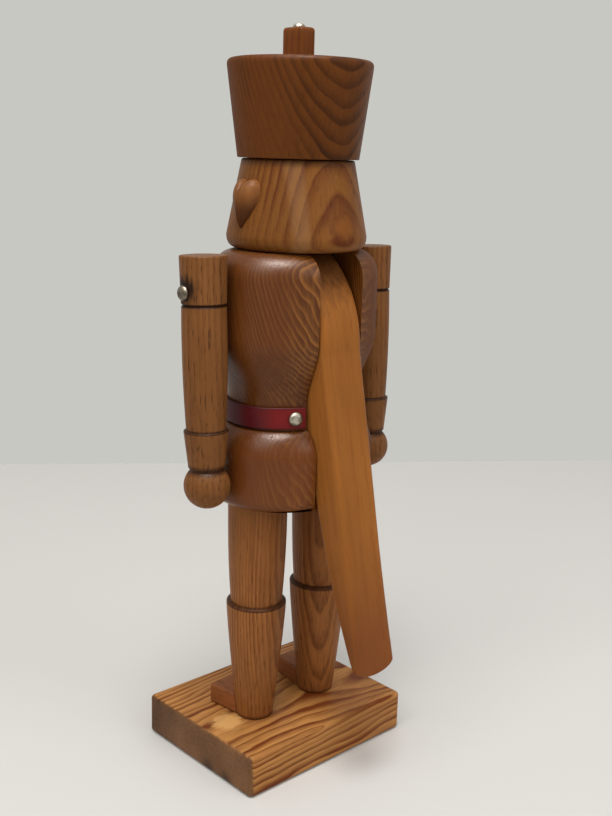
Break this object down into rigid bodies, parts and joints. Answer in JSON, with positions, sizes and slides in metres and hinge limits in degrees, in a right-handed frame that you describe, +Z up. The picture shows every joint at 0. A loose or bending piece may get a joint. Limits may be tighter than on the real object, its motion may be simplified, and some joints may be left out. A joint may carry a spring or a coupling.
{
  "type": "nutcracker soldier",
  "caption": "Wooden nutcracker soldier in varnished wood: a lever at the back works the jaw, and the turned arms swing on nails above a striped base.",
  "frame": {"origin": "middle of the base's underside", "axes": "+Z up; the soldier faces -Y and its left hand is on +X"},
  "size_m": [0.1274, 0.1085, 0.3448],
  "materials": {
    "amber_wood": "satin amber-brown varnish",
    "hat_wood": "satin dark amber varnish",
    "lever_wood": "satin orange-brown varnish",
    "red_wood": "satin red-brown stain",
    "striped_wood": "satin clear varnish",
    "dowel_wood": "bare",
    "red_leather": "dark red, slightly glossy",
    "nail_metal": "aged nickel",
    "steel": "bright zinc"
  },
  "bodies": {
    "figure": {"base_plinth": "striped_wood", "belt": "red_leather", "hat": "hat_wood", "hat_dowel": "dowel_wood", "hat_peg": "red_wood", "head": "amber_wood", "left_belt_nail": "nail_metal", "left_ear": "amber_wood", "left_eye": "nail_metal", "left_foot": "red_wood", "left_hip_dowel": "dowel_wood", "left_leg": "amber_wood", "left_leg_screw": "steel", "left_neck_dowel": "dowel_wood", "left_shoulder_nail": "nail_metal", "lever_pin": "steel", "nose": "amber_wood", "peg_nail": "nail_metal", "right_belt_nail": "nail_metal", "right_ear": "amber_wood", "right_eye": "nail_metal", "right_foot": "red_wood", "right_hip_dowel": "dowel_wood", "right_leg": "amber_wood", "right_leg_screw": "steel", "right_neck_dowel": "dowel_wood", "right_shoulder_nail": "nail_metal", "torso": "amber_wood"},
    "lever": {"lever": "lever_wood"},
    "left_arm": {"left_arm": "amber_wood"},
    "right_arm": {"right_arm": "amber_wood"}
  },
  "joints": [
    {"name": "lever_pivot", "type": "hinge", "parent": "figure", "child": "lever", "pos_m": [0, 0.015, 0.2233], "axis": [1, 0, 0], "range_deg": [0, 35]},
    {"name": "left_shoulder", "type": "hinge", "parent": "figure", "child": "left_arm", "pos_m": [0.0514, 0.004, 0.2299], "axis": [1, 0, 0], "continuous": true},
    {"name": "right_shoulder", "type": "hinge", "parent": "figure", "child": "right_arm", "pos_m": [-0.0514, 0.004, 0.2299], "axis": [1, 0, 0], "continuous": true}
  ]
}
